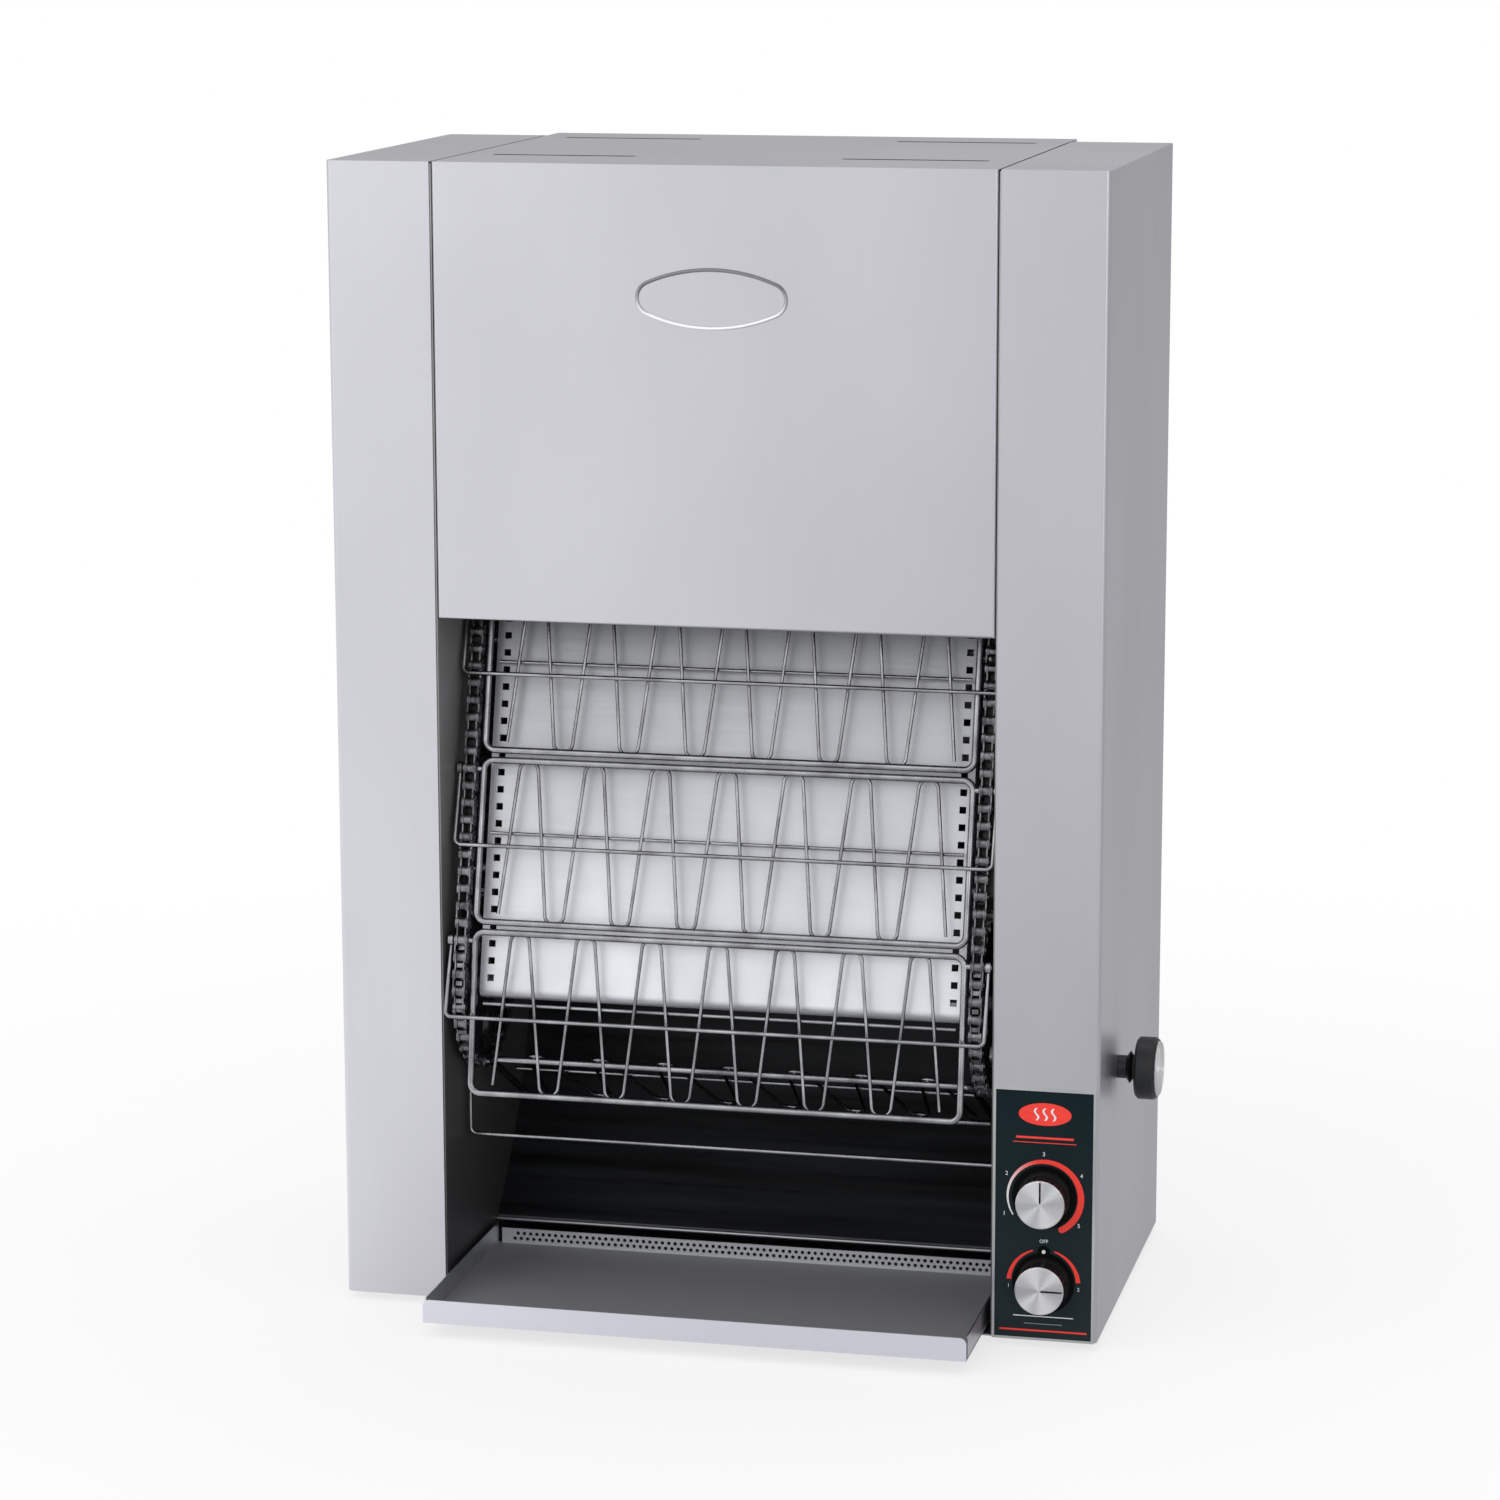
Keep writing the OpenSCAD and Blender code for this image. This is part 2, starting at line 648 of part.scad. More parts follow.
module gearbox() color("gray") place() difference() {
    union() {
        along_x(gearbox_x, gearbox_w) translate([gearbox_y + gearbox_l / 2, advance_z]) rounded(gearbox_l, gearbox_h, 8);
        for (spot = gearbox_posts) translate([0, spot[0], spot[1]]) bar_x(wall_x, gearbox_x + 1, 9);
    }
    translate([0, advance_y, advance_z]) bar_x(gearbox_x - over, gearbox_x + gearbox_w + over, output_d + 2 * run_fit);
}

module motor() color("dimgray") place() translate([motor_x, gearbox_y + gearbox_l, advance_z]) rotate([-90, 0, 0]) {
    cylinder(d = motor_d - 8, h = 6);
    translate([0, 0, 6]) cylinder(d = motor_d, h = motor_l - 16);
    translate([0, 0, motor_l - 10]) cylinder(d1 = motor_d, d2 = motor_d - 10, h = 8);
}

module lower_shaft() color("silver") leaning() bar_x(-wall_x - shaft_over, gear_x + gear_w + 6, shaft_d);

module upper_shaft() color("silver") leaning() translate([0, 0, run_l]) bar_x(-wall_x - shaft_over, wall_x + shaft_over, shaft_d);

module sprocket() difference() {
    union() {
        along_x(chain_x - chain_in + clear, 2 * (chain_in - clear)) difference() {
            circle(chain_r + 3);
            for (i = [0 : sprocket_teeth - 1]) rotate(i * link_angle) tooth_gap();
            for (a = [0 : 60 : 300]) rotate(a + 30) translate([chain_r * 0.6, 0]) circle(10);
        }
        bar_x(chain_x - 15, chain_x, shaft_d + 14);
    }
    bar_x(chain_x - 16, chain_x + 10, shaft_d + 2 * run_fit);
}

// Round seat for a roller on the pitch circle, opening outward
module tooth_gap() translate([-chain_r, 0]) {
    seat = roller_d / 2 + 0.15;
    circle(seat);
    polygon([[0, -seat], [-5, -seat - 1.8], [-5, seat + 1.8], [0, seat]]);
}

module lower_sprockets() color("gray") leaning() both_sides() sprocket();

module upper_sprockets() color("gray") leaning() translate([0, 0, run_l]) both_sides() sprocket();

module shaft_bearings() color("peru") leaning() both_sides() for (z = [0, run_l]) translate([0, 0, z]) difference() {
    union() {
        bar_x(wall_in, wall_x + 11, bush_d);
        bar_x(wall_x, wall_x + 2.5, bush_d + 12);
    }
    bar_x(wall_in - over, wall_x + 12, shaft_d + 2 * run_fit);
}

// Chains: place children at chain pin k of the loop, with the way ahead along +Z and outward -Y
module at_pin(k) {
    rear = run_links + wrap_links;
    bottom = rear + run_links;
    if (k < run_links) translate([0, -chain_r, k * chain_pitch]) children();
    else if (k < rear) translate([0, 0, run_l]) rotate([-(k - run_links) * link_angle, 0, 0])
        translate([0, -chain_r, 0]) children();
    else if (k < bottom) translate([0, chain_r, run_l - (k - rear) * chain_pitch]) rotate([180, 0, 0]) children();
    else rotate([-180 - (k - bottom) * link_angle, 0, 0]) translate([0, -chain_r, 0]) children();
}

// A link on a sprocket lies along the chord to the next pin
function chord_turn(k) = (k >= run_links && k < run_links + wrap_links) || k >= 2 * run_links + wrap_links
    ? -link_angle / 2 : 0;

module link_outline() {
    circle(plate_r);
    translate([0, chain_pitch]) circle(plate_r);
    translate([-plate_r + 1.3, 0]) square([2 * plate_r - 2.6, chain_pitch]);
}

module chain_link(k) {
    x = k % 2 == 0 ? chain_in : chain_in + plate_t + plate_gap;
    for (side = [-1, 1]) along_x(side * (x + plate_t / 2) - plate_t / 2, plate_t) link_outline();
    if (k % 2 == 0) for (z = [0, chain_pitch]) translate([0, 0, z]) bar_x(-chain_in - 0.1, chain_in + 0.1, roller_d);
}

function is_carrier(k) = (k - first_basket) % basket_links == 0;

module chain_stretch(first, last) leaning() both_sides() translate([chain_x, 0, 0]) difference() {
    union() {
        for (k = [first : last - 1]) at_pin(k) rotate([chord_turn(k), 0, 0]) chain_link(k);
        for (k = [first + 1 : last - 1]) at_pin(k)
            bar_x(-chain_half, chain_half, is_carrier(k) ? sleeve_d : chain_pin_d);
    }
    for (k = [first + 1 : last - 1]) if (is_carrier(k)) at_pin(k)
        bar_x(-chain_half - over, chain_half + over, carry_d + 2 * run_fit);
}

module front_chains() color("slategray") chain_stretch(0, run_links);

module upper_chains() color("slategray") chain_stretch(run_links, run_links + wrap_links);

module rear_chains() color("slategray") chain_stretch(run_links + wrap_links, 2 * run_links + wrap_links);

module lower_chains() color("slategray") chain_stretch(2 * run_links + wrap_links, loop_links);

// Baskets: pivot at the origin, hanging along -Z, outward -Y
module wire_arc(x, z, r, from, to, d) translate([x, 0, z]) rotate([90, 0, 0]) rotate(from)
    rotate_extrude(angle = to - from) translate([r, 0]) circle(d = d);

module wire_leg(x, z, lean, length, d) translate([x, 0, z]) rotate([0, lean, 0]) cylinder(d = d, h = length);

module rim() {
    side_l = rim_top - rim_bottom - 2 * rim_corner;
    across = 2 * (rim_x - rim_corner);
    for (x = [-1, 1]) {
        wire_leg(x * rim_x, rim_bottom + rim_corner, 0, side_l, rim_wire);
        for (up = [0, 1]) wire_arc(x * (rim_x - rim_corner), up ? rim_top - rim_corner : rim_bottom + rim_corner,
            rim_corner, quadrant(x, up), quadrant(x, up) + 90, rim_wire);
    }
    for (z = [rim_top, rim_bottom]) translate([0, 0, z]) bar_x(-across / 2, across / 2, rim_wire);
    both_sides() bar_x(carry_start, eye_x + eye_l / 2 + pin_head, carry_d);
}

function quadrant(x, up) = up ? (x > 0 ? 0 : 90) : (x > 0 ? 270 : 180);

// The zigzag wire is upset a little in its bends, where each leg runs on into the bend
module zigzag() translate([0, grid_y, 0]) for (i = [0 : grid_pairs - 1]) {
    x = (i - (grid_pairs - 1) / 2) * grid_step;
    bend_d = grid_wire + bend_swell;
    wire_arc(x, grid_top, grid_bend, grid_lean, 180 - grid_lean, bend_d);
    if (i > 0) wire_arc(x - grid_step / 2, grid_bottom, grid_bend, 180 + grid_lean, 360 - grid_lean, bend_d);
    for (side = [-1, 1]) translate([x + side * grid_bend * cos(grid_lean), 0, grid_top + grid_bend * sin(grid_lean)])
        rotate([0, 180 - side * grid_lean, 0]) translate([0, 0, -leg_sink])
            cylinder(d = grid_wire, h = grid_leg + 2 * leg_sink);
}

module brace() translate([0, brace_y, (rim_top + rim_bottom) / 2 + 6]) bar_x(-rim_x + 6, rim_x - 6, grid_wire);

module retainer() {
    for (x = [-1, 1]) {
        difference() {
            union() {
                translate([x * eye_x - eye_l / 2, 0, 0]) bar_x(0, eye_l, eye_d);
                wire_leg(x * eye_x, -gate_l + gate_corner, 0, gate_l - gate_corner - carry_d / 2 - 0.4, gate_wire);
            }
            translate([x * eye_x - eye_l, 0, 0]) bar_x(0, 2 * eye_l, carry_d + 2 * run_fit);
        }
        wire_arc(x * (eye_x - gate_corner), -gate_l + gate_corner, gate_corner,
            quadrant(x, 0), quadrant(x, 0) + 90, gate_wire);
    }
    translate([0, 0, -gate_l]) bar_x(-eye_x + gate_corner, eye_x - gate_corner, gate_wire);
}

function basket_pin(i) = first_basket + (i - 1) * basket_links;

// Baskets hang on round pins, so the first leans in below the reflector and the lowest towards the chute
function basket_hang(i) = i == 1 ? 5 : i == 10 ? -15 : 0;

module basket(i) color("silver") leaning() at_pin(basket_pin(i)) rotate([basket_hang(i), 0, 0]) {
    rim();
    zigzag();
    brace();
}

module hung_retainer(i, angle) color("silver") leaning() at_pin(basket_pin(i)) rotate([-angle, 0, 0]) retainer();

// A basket in the heated part, with its retainer held shut
module closed_basket(i) {
    basket(i);
    hung_retainer(i, gate_shut);
}

module basket_01() basket(1);

module basket_02() basket(2);

module basket_03() basket(3);

module basket_04() closed_basket(4);

module basket_05() closed_basket(5);

module basket_06() closed_basket(6);

module basket_07() closed_basket(7);

module basket_08() closed_basket(8);

module basket_09() closed_basket(9);

module basket_10() basket(10);

module retainer_01() hung_retainer(1, gate_shut);

module retainer_02() hung_retainer(2, gate_shut);

module retainer_03() hung_retainer(3, gate_shut);

// The lowest retainer hangs straight down
module retainer_10() hung_retainer(10, 180 - incline - (basket_pin(10) - 2 * run_links - wrap_links) * link_angle);

// Heaters
module front_spots() for (i = [0 : heater_count - 1])
    translate([0, heater_front_y, heater_front_z + i * heater_step * 0.8]) children();

module leaning_spots(y) translate([0, drive_y, drive_z]) rotate([-incline, 0, 0])
    for (i = [0 : heater_count - 1]) translate([0, y, heater_low + i * heater_step]) children();

module wall_crossings() {
    front_spots() children();
    leaning_spots(0) children();
    leaning_spots(heater_behind) children();
}

module heater() {
    bar_x(-wall_x - terminal_l + 6, wall_x + terminal_l - 6, heater_d);
    both_sides() bar_x(wall_x + terminal_l - 6, wall_x + terminal_l, 3);
}

module front_heaters() color("slategray") place() front_spots() heater();

module middle_heaters() color("slategray") place() leaning_spots(0) heater();

module rear_heaters() color("slategray") place() leaning_spots(heater_behind) heater();

module heater_insulators() color("ivory") place() both_sides() wall_crossings() difference() {
    bar_x(wall_x, wall_x + 6, insulator_d);
    bar_x(wall_x - over, wall_x + 7, heater_d + 2 * hole_fit);
}

// Wiring ends in the right column
module terminal_block() color("ivory") place() translate([side_x - column_w + 20, body_d - 90, sheet]) {
    difference() {
        cube([40, 62, 22]);
        for (i = [0 : 3]) translate([5, 6 + i * 14, 14]) cube([30, 9, 10]);
    }
    for (i = [0 : 3], x = [12, 28]) translate([x, 10.5 + i * 14, 14]) cylinder(d = 5, h = 3);
}

module cord_gland() color("black") place() translate([gland_x, body_d, gland_z]) rotate([-90, 0, 0]) difference() {
    union() {
        translate([0, 0, -sheet - 10]) cylinder(d = gland_d, h = sheet + 10);
        cylinder(d = gland_d + 8, h = 4);
        translate([0, 0, 4]) cylinder(d1 = gland_d, d2 = gland_d - 4, h = 8);
    }
    translate([0, 0, -20]) cylinder(d = 11, h = 40);
}

left_column();
right_column();
left_inner_wall();
right_inner_wall();
front_cover();
top_cover();
back_cover();
base_pan();
feet();
tie_rods();
reflector_plate();
toast_chute();
chain_guides();
toast_tray();
panel_frame();
control_panel();
speed_knob();
speed_knob_cap();
speed_control();
mode_knob();
mode_knob_cap();
mode_switch();
advance_knob();
advance_knob_cap();
output_shaft();
drive_pinion();
gearbox();
motor();
lower_shaft();
lower_sprockets();
drive_gear();
upper_shaft();
upper_sprockets();
shaft_bearings();
front_chains();
upper_chains();
rear_chains();
lower_chains();
basket_01();
basket_02();
basket_03();
basket_04();
basket_05();
basket_06();
basket_07();
basket_08();
basket_09();
basket_10();
retainer_01();
retainer_02();
retainer_03();
retainer_10();
front_heaters();
middle_heaters();
rear_heaters();
heater_insulators();
terminal_block();
cord_gland();
cover_screws();
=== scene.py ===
import json
import math

import bmesh
import bpy
from mathutils import Matrix, Vector


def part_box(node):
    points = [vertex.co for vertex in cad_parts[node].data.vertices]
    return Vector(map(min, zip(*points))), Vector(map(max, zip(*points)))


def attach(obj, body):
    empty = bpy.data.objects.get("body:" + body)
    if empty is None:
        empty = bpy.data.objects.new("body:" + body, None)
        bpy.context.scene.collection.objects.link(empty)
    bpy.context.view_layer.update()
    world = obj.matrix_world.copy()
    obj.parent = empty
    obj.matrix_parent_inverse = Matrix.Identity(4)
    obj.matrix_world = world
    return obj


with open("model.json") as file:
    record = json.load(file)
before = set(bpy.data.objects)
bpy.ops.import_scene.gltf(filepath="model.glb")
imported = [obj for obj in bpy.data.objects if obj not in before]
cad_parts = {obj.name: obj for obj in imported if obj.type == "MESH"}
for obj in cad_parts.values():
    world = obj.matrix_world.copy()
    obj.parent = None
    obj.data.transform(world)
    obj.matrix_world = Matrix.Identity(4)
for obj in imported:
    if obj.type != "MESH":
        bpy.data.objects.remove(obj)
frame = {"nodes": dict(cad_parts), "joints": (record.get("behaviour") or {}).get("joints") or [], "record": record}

MM = 0.001
X, Y, Z = range(3)
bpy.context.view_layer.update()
NODES = frame["nodes"]
JOINTS = {joint["name"]: joint for joint in frame["joints"]}
scene = bpy.context.scene


# Colours and nodes

def linear(code):
    """An sRGB hex colour as linear RGBA."""
    parts = [int(code[i:i + 2], 16) / 255 for i in (1, 3, 5)]
    return [p / 12.92 if p <= 0.04045 else ((p + 0.055) / 1.055) ** 2.4 for p in parts] + [1.0]


def add(tree, kind, inputs=(), **settings):
    """Adds a node with its settings; each input is a value or the socket that feeds it."""
    node = tree.nodes.new(kind)
    for name, value in settings.items():
        setattr(node, name, value)
    for key, value in dict(inputs).items():
        if isinstance(value, bpy.types.NodeSocket):
            tree.links.new(value, node.inputs[key])
        else:
            node.inputs[key].default_value = value
    return node


def empty_material(name):
    material = bpy.data.materials.new(name)
    material.use_nodes = True
    material.node_tree.nodes.clear()
    return material


# A Mix node has sockets of each type under the same names, so they are taken by number
NUMBER_A, NUMBER_B, NUMBER_OUT = 2, 3, 0
COLOUR_A, COLOUR_B, COLOUR_OUT = 6, 7, 2


# Finishes

def finish(name, dark, light, clouds, grain, rough, depth, **surface):
    """A material whose colour drifts between two shades and whose sheen and relief follow a finer grain.

    clouds and grain are the sizes of those patterns along X, Y and Z in millimetres, and depth is the relief's.
    """
    material = empty_material(name)
    tree = material.node_tree
    place = add(tree, "ShaderNodeTexCoord").outputs["Object"]
    patterns = []
    for size in (clouds, grain):
        spread = add(tree, "ShaderNodeMapping", {"Vector": place, "Scale": [1 / (s * MM) for s in size]})
        noise = add(tree, "ShaderNodeTexNoise", {
            "Vector": spread.outputs["Vector"], "Scale": 1.0, "Detail": 3.0})
        patterns.append(add(tree, "ShaderNodeMapRange", {
            "Value": noise.outputs["Fac"], "From Min": 0.3, "From Max": 0.7}).outputs["Result"])
    colour = add(tree, "ShaderNodeMix", {
        "Factor": patterns[0], COLOUR_A: linear(dark), COLOUR_B: linear(light)}, data_type="RGBA")
    sheen = add(tree, "ShaderNodeMapRange", {"Value": patterns[1], "To Min": rough[0], "To Max": rough[1]})
    relief = add(tree, "ShaderNodeBump", {"Height": patterns[1], "Distance": depth * MM})
    shader = add(tree, "ShaderNodeBsdfPrincipled", {
        "Base Color": colour.outputs[COLOUR_OUT], "Roughness": sheen.outputs["Result"],
        "Normal": relief.outputs["Normal"], **surface}, name="surface")
    add(tree, "ShaderNodeOutputMaterial", {"Surface": shader.outputs["BSDF"]})
    return material


def stain_or_painted_light(material, changes, *limits):
    """Changes some of a finish's colours, as hex codes, and numbers where all the limits overlap; this serves for
    real stains and for painted light and shade.

    Each limit is an axis, the place where the change starts and the place where it is full, in metres.
    """
    tree = material.node_tree
    place = add(tree, "ShaderNodeSeparateXYZ", {"Vector": add(tree, "ShaderNodeTexCoord").outputs["Object"]})
    share = None
    for axis, start, end in limits:
        turned = add(tree, "ShaderNodeMapRange", {
            "Value": place.outputs[axis], "From Min": start, "From Max": end}).outputs["Result"]
        share = turned if share is None else add(
            tree, "ShaderNodeMath", {0: share, 1: turned}, operation="MULTIPLY").outputs["Value"]
    for name, value in changes.items():
        socket = tree.nodes["surface"].inputs[name]
        before = socket.links[0].from_socket if socket.is_linked else socket.default_value
        if isinstance(value, str):
            mixed = add(tree, "ShaderNodeMix", {
                "Factor": share, COLOUR_A: before, COLOUR_B: linear(value)},
                data_type="RGBA").outputs[COLOUR_OUT]
        else:
            mixed = add(tree, "ShaderNodeMix", {
                "Factor": share, NUMBER_A: before, NUMBER_B: value}, data_type="FLOAT").outputs[NUMBER_OUT]
        tree.links.new(mixed, socket)
    return material


def near(axis, place, start, end):
    """A limit of a stain or of painted light or shade that starts and is full at so many millimetres from a place
    on an axis.
    """
    return axis, place + start * MM, place + end * MM


def middle(node):
    low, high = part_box(node)
    return (low + high) / 2


def spun_aluminium(name, node, axis):
    # Aluminium cap faced on a lathe: rings 0.4 mm apart spread each highlight outward into bright wedges
    material = empty_material(name)
    tree = material.node_tree
    place = add(tree, "ShaderNodeTexCoord").outputs["Object"]
    from_middle = add(tree, "ShaderNodeVectorMath", {0: place, 1: middle(node)}, operation="SUBTRACT")
    across = add(tree, "ShaderNodeVectorMath", {
        0: from_middle.outputs["Vector"], 1: [float(i != axis) for i in (X, Y, Z)]}, operation="MULTIPLY")
    radius = add(tree, "ShaderNodeVectorMath", {0: across.outputs["Vector"]}, operation="LENGTH")
    turns = add(tree, "ShaderNodeMath", {0: radius.outputs["Value"], 1: 1 / (0.4 * MM)}, operation="MULTIPLY")
    rings = add(tree, "ShaderNodeTexNoise", {
        "W": turns.outputs["Value"], "Scale": 1.0, "Detail": 2.0}, noise_dimensions="1D").outputs["Fac"]
    colour = add(tree, "ShaderNodeMix", {
        "Factor": rings, COLOUR_A: linear("#dcdddf"), COLOUR_B: linear("#f8f8fa")}, data_type="RGBA")
    sheen = add(tree, "ShaderNodeMapRange", {"Value": rings, "To Min": 0.38, "To Max": 0.52})
    relief = add(tree, "ShaderNodeBump", {"Height": rings, "Distance": 0.006 * MM})
    shader = add(tree, "ShaderNodeBsdfPrincipled", {
        "Base Color": colour.outputs[COLOUR_OUT], "Metallic": 1.0, "Roughness": sheen.outputs["Result"],
        "Anisotropic": 1.0, "Tangent": across.outputs["Vector"], "Normal": relief.outputs["Normal"]})
    add(tree, "ShaderNodeOutputMaterial", {"Surface": shader.outputs["BSDF"]})
    return material


def brushed_stainless(name):
    # Stainless sheet, belt-brushed upright: a soft sheen with faint upright streaks. Real lines are 0.1 mm apart
    # and are drawn ten times coarser so that they show.
    return finish(name, "#c2c2c8", "#cacad0", (160, 160, 320), (1.0, 1.0, 140), (0.33, 0.41), 0.004, Metallic=1.0)


# Drawn stainless wire that has been hot: bright along its middle and dark along its edges, with duller patches
wire = finish("drawn_stainless_wire", "#7b7b7e", "#abacaf", (24, 24, 24), (1.2, 1.2, 1.2), (0.2, 0.3), 0.005,
              **{"Metallic": 1.0, "Specular Tint": linear("#2c2c2f")})

# Where the finishes change: lowest and highest corners of the pieces that show it
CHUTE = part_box("toast_chute")
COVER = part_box("front_cover")
HOUSING_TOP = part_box("top_cover")[1]
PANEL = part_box("control_panel")
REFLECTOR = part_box("reflector_plate")
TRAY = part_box("toast_tray")
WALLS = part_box("left_inner_wall")
# Top of the painted shade on the inner walls, which darkens them downwards
WALL_SHADE_TOP = WALLS[1].z * 0.62
PAD_MIDDLE = COVER[1].z - 94 * MM
PAD_BEAD = near(Y, COVER[0].y, 1.4, 1.1)
TRAY_FLOOR = near(Z, TRAY[0].z, 2.4, 1.2)
BEHIND_LIP = near(Y, TRAY[0].y, 0.9, 1.1)
TRAY_LIP = near(Y, TRAY[0].y, 1.1, 0.9)
TRAY_REAR = near(Y, TRAY[1].y, -3, -2)

FINISHES = {
    "housing_steel": brushed_stainless("brushed_stainless"),
    # Mill-finished steel that has been hot for years: dull grey clouds, with painted shade darkening it towards
    # the floor
    "inner_steel": stain_or_painted_light(
        finish("heat_worn_steel", "#949392", "#b0afaf", (70, 70, 110), (0.8, 0.8, 30), (0.4, 0.54), 0.008,
               Metallic=0.6),
        {"Base Color": "#4a4b4d"}, (Z, WALL_SHADE_TOP, WALLS[0].z)),
    # Chute sheet, coated black and polished across by use; its rolled edge is worn to bare steel
    "chute_steel": stain_or_painted_light(
        finish("black_coated_steel", "#0f1012", "#2c2e31", (240, 14, 14), (240, 5, 5), (0.26, 0.44), 0.02,
               Metallic=0.4),
        {"Base Color": "#a9abaf", "Metallic": 1.0}, near(Z, CHUTE[0].z, 4.2, 3.2)),
    # Rolled aluminium reflector: pale satin face with faint clouds from the heat, and painted shade darkening it
    # up under the cover
    "reflector": stain_or_painted_light(
        finish("satin_aluminium", "#d6d7dc", "#e7e8ed", (60, 60, 90), (40, 1.2, 1.2), (0.42, 0.52), 0.006,
               Metallic=0.9),
        {"Base Color": "#a0a1a5"}, (Z, REFLECTOR[0].z + 40 * MM, COVER[0].z)),
    # Tray sheet brushed across; its floor is darker and duller, a painted reflection of the dark bay above it,
    # and the rear wall and the front lip carry painted light, pale and satin
    "tray_steel": stain_or_painted_light(stain_or_painted_light(stain_or_painted_light(
        finish("brushed_tray_steel", "#cfd0d5", "#dfe0e5", (45, 28, 45), (120, 1.4, 1.4), (0.28, 0.4), 0.006,
               Metallic=1.0),
        {"Base Color": "#8f8f92", "Metallic": 0.25, "Roughness": 0.5}, TRAY_FLOOR, BEHIND_LIP),
        {"Base Color": "#c4c5c8", "Metallic": 0.3}, TRAY_REAR),
        {"Base Color": "#dadae2", "Metallic": 0.4}, TRAY_LIP),
    # Bright turned bar: fine rings round the shafts, which lie along X
    "bright_steel": finish("turned_bright_steel", "#a3a5a8", "#c3c5c8", (8, 60, 60), (0.6, 60, 60),
                           (0.22, 0.34), 0.006, Metallic=1.0),
    "basket_wire": wire,
    # Hardened chain steel under a film of oil: dark, with glossy and dry spots
    "chain_steel": finish("oiled_chain_steel", "#4c4c4e", "#8f8f93", (7, 7, 7), (4, 4, 4), (0.2, 0.46), 0.01,
                          Metallic=1.0),
    # Cut brass gears and bronze bushes: warm yellow, lightly tarnished
    "gear_brass": finish("machined_brass", "#8f6f37", "#c9a75e", (14, 14, 14), (0.8, 20, 20), (0.26, 0.42), 0.006,
                         Metallic=1.0),
    # Die-cast aluminium cases with a pebbled skin of 1 mm grain
    "drive_case": finish("die_cast_aluminium", "#55585b", "#6f7275", (30, 30, 30), (1, 1, 1), (0.48, 0.62), 0.06,
                         Metallic=0.8),
    # Polycarbonate label film, back-printed green-black and a little greyer towards its foot; its fine tooth
    # scatters the light, so it looks matt
    "panel_face": stain_or_painted_light(
        finish("printed_polycarbonate_film", "#0a1b1f", "#0e2125", (40, 40, 60), (0.5, 0.5, 0.5), (0.36, 0.48),
               0.004, **{"IOR": 1.58, "Specular IOR Level": 0.08}),
        {"Base Color": "#222c2f"}, (Z, PANEL[1].z, PANEL[0].z)),
    # Extruded aluminium edging, satin anodised, with drawing lines along its length
    "panel_frame": finish("anodised_aluminium", "#c0c2c4", "#d6d7d9", (30, 30, 60), (0.7, 0.7, 60), (0.26, 0.38),
                          0.004, Metallic=1.0),
    # Moulded black phenolic: hard, slightly glossy, with a faint orange peel of 2 mm
    "knob_black": finish("moulded_phenolic", "#0f1112", "#1a1c1e", (12, 12, 12), (2, 2, 2), (0.32, 0.46), 0.015,
                         **{"IOR": 1.6, "Specular IOR Level": 0.35}),
    # Moulded cream urea: pale, dull switch bodies and terminal block
    "control_case": finish("moulded_urea", "#d2ccba", "#e2dccb", (8, 8, 8), (1, 1, 1), (0.4, 0.52), 0.01),
    # Glazed steatite: cream and faintly speckled
    "ceramic": finish("glazed_steatite", "#d8d2c4", "#ece8de", (2, 2, 2), (1.5, 1.5, 1.5), (0.2, 0.34), 0.01),
    # Steel heater sheath after many heats: dark grey-brown oxide, dry and mottled
    "heater_sheath": finish("oxidised_steel_sheath", "#383432", "#5a5452", (9, 9, 9), (2, 2, 2), (0.5, 0.68),
                            0.01, Metallic=0.7),
    # Moulded rubber feet and gland: black and dry, with a fine grain
    "rubber": finish("moulded_rubber", "#141414", "#202020", (15, 15, 15), (0.8, 0.8, 0.8), (0.62, 0.78), 0.02),
}
OWN_FINISH = {
    # The bead round the pad carries painted shade along its upper half and a painted highlight along its lower
    # half
    "front_cover": stain_or_painted_light(stain_or_painted_light(
        brushed_stainless("brushed_stainless_front"),
        {"Base Color": "#838389"}, PAD_BEAD, near(Z, PAD_MIDDLE, -6, 8)),
        {"Base Color": "#f0f0f4"}, PAD_BEAD, near(Z, PAD_MIDDLE, -2, -12)),
    # Painted shade darkens the cut edges of the top slots
    "top_cover": stain_or_painted_light(
        brushed_stainless("brushed_stainless_top"),
        {"Base Color": "#303032"}, near(Z, HOUSING_TOP.z, -0.1, -0.3), near(Y, HOUSING_TOP.y, -12, -14)),
    # Zinc-coated pan: pale grey spangle of 9 mm flakes
    "base_pan": finish("galvanised_steel", "#8d9092", "#abadb0", (9, 9, 9), (9, 9, 9), (0.36, 0.5), 0.004,
                       Metallic=1.0),
    # Oil-blacked guide rails: dark, with a dull sheen along their length
    "chain_guides": finish("oil_blacked_steel", "#2a2a2b", "#434344", (20, 20, 60), (1, 1, 40), (0.36, 0.5),
                           0.006, Metallic=0.6),
    "speed_knob_cap": spun_aluminium("spun_aluminium_speed_cap", "speed_knob_cap", Y),
    "mode_knob_cap": spun_aluminium("spun_aluminium_mode_cap", "mode_knob_cap", Y),
    "advance_knob_cap": spun_aluminium("spun_aluminium_advance_cap", "advance_knob_cap", X),
}
for part in frame["record"]["subparts"]:
    name = part["node"]
    mesh = NODES[name].data
    mesh.materials.clear()
    mesh.materials.append(OWN_FINISH.get(name) or FINISHES[part["material_slot"]])


# Pieces

def settle(obj, body):
    if obj.name not in scene.collection.objects:
        scene.collection.objects.link(obj)
    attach(obj, body)
    return obj


def made_mesh(source, name):
    """The plain mesh that an outline or a modifier gives; its source object is removed."""
    scene.collection.objects.link(source)
    mesh = bpy.data.meshes.new_from_object(source.evaluated_get(bpy.context.evaluated_depsgraph_get()))
    bpy.data.objects.remove(source)
    mesh.name = name
    return mesh


